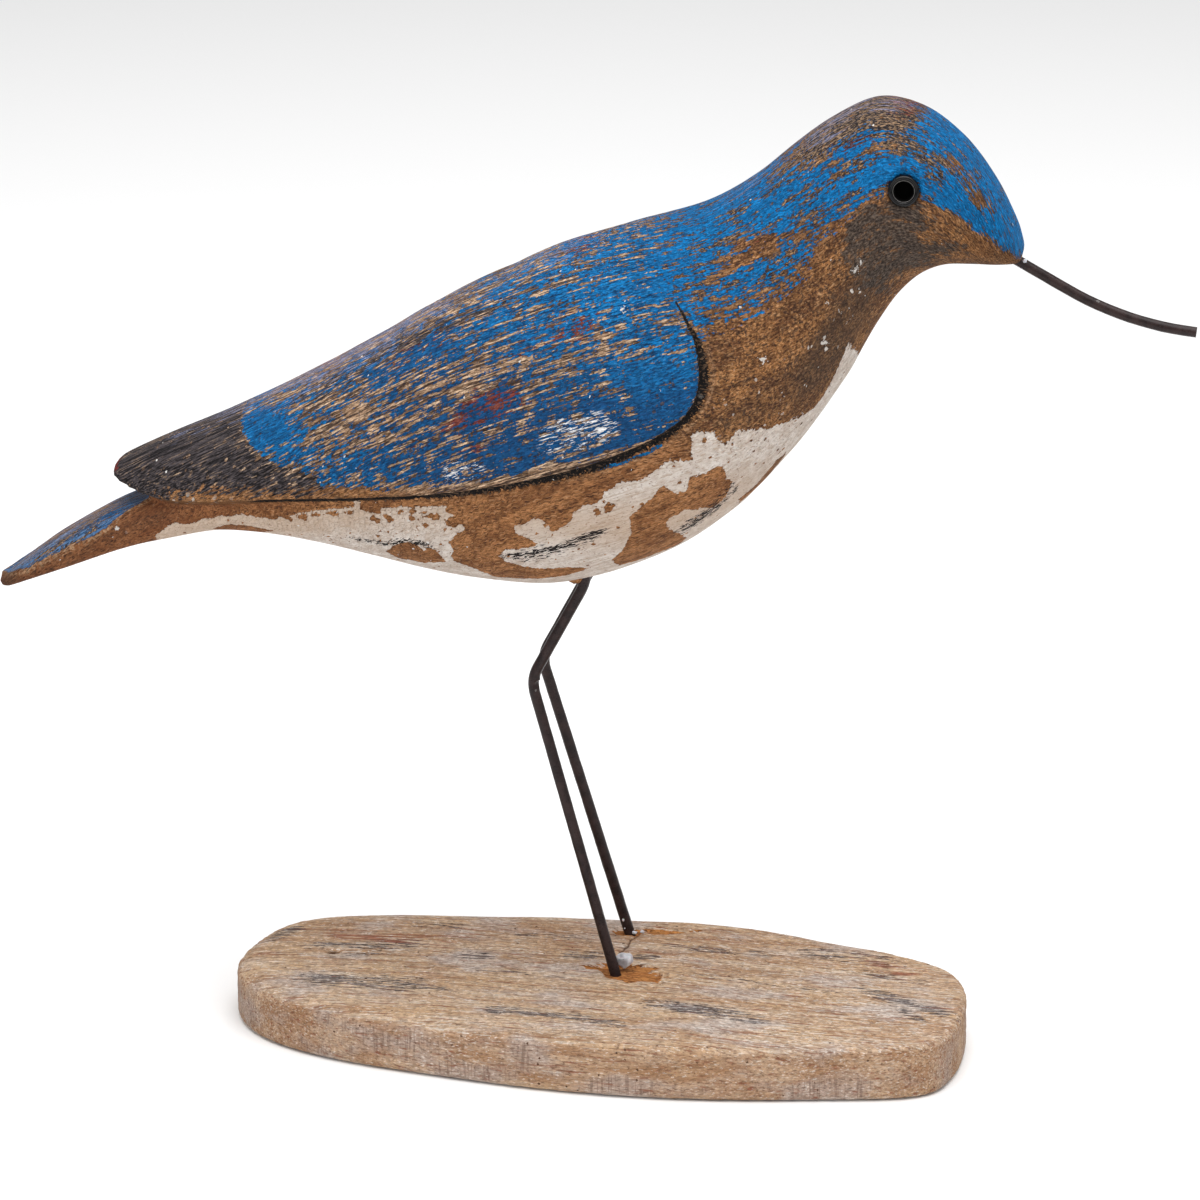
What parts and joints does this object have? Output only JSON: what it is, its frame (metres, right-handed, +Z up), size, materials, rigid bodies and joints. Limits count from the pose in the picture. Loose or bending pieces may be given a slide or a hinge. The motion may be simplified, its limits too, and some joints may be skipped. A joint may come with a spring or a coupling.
{
  "type": "shorebird decoy",
  "caption": "Carved wooden shorebird with folded wings, bent wire legs and a curved wire bill, standing on an oval slab of driftwood.",
  "frame": {"origin": "middle of the slab's underside, by length and width, on the surface that the object stands on", "axes": "+Z up; +X along the slab, the way the bird looks; +Y to the bird's left"},
  "size_m": [0.3192, 0.1024, 0.2555],
  "materials": {
    "painted_wood": "worn blue, black and off-white paint over brown wood",
    "driftwood": "weathered and bare, with traces of lime",
    "blackened_wire": "satin, brown-black",
    "black_gloss": "polished",
    "dried_glue": "dry and slightly rough"
  },
  "bodies": {
    "root": {"driftwood_slab": "driftwood", "carved_body": "painted_wood", "bill_wire": "blackened_wire", "leg_right": "blackened_wire", "leg_left": "blackened_wire", "eye_right": "black_gloss", "eye_left": "black_gloss", "glue_drop": "dried_glue"}
  },
  "joints": []
}
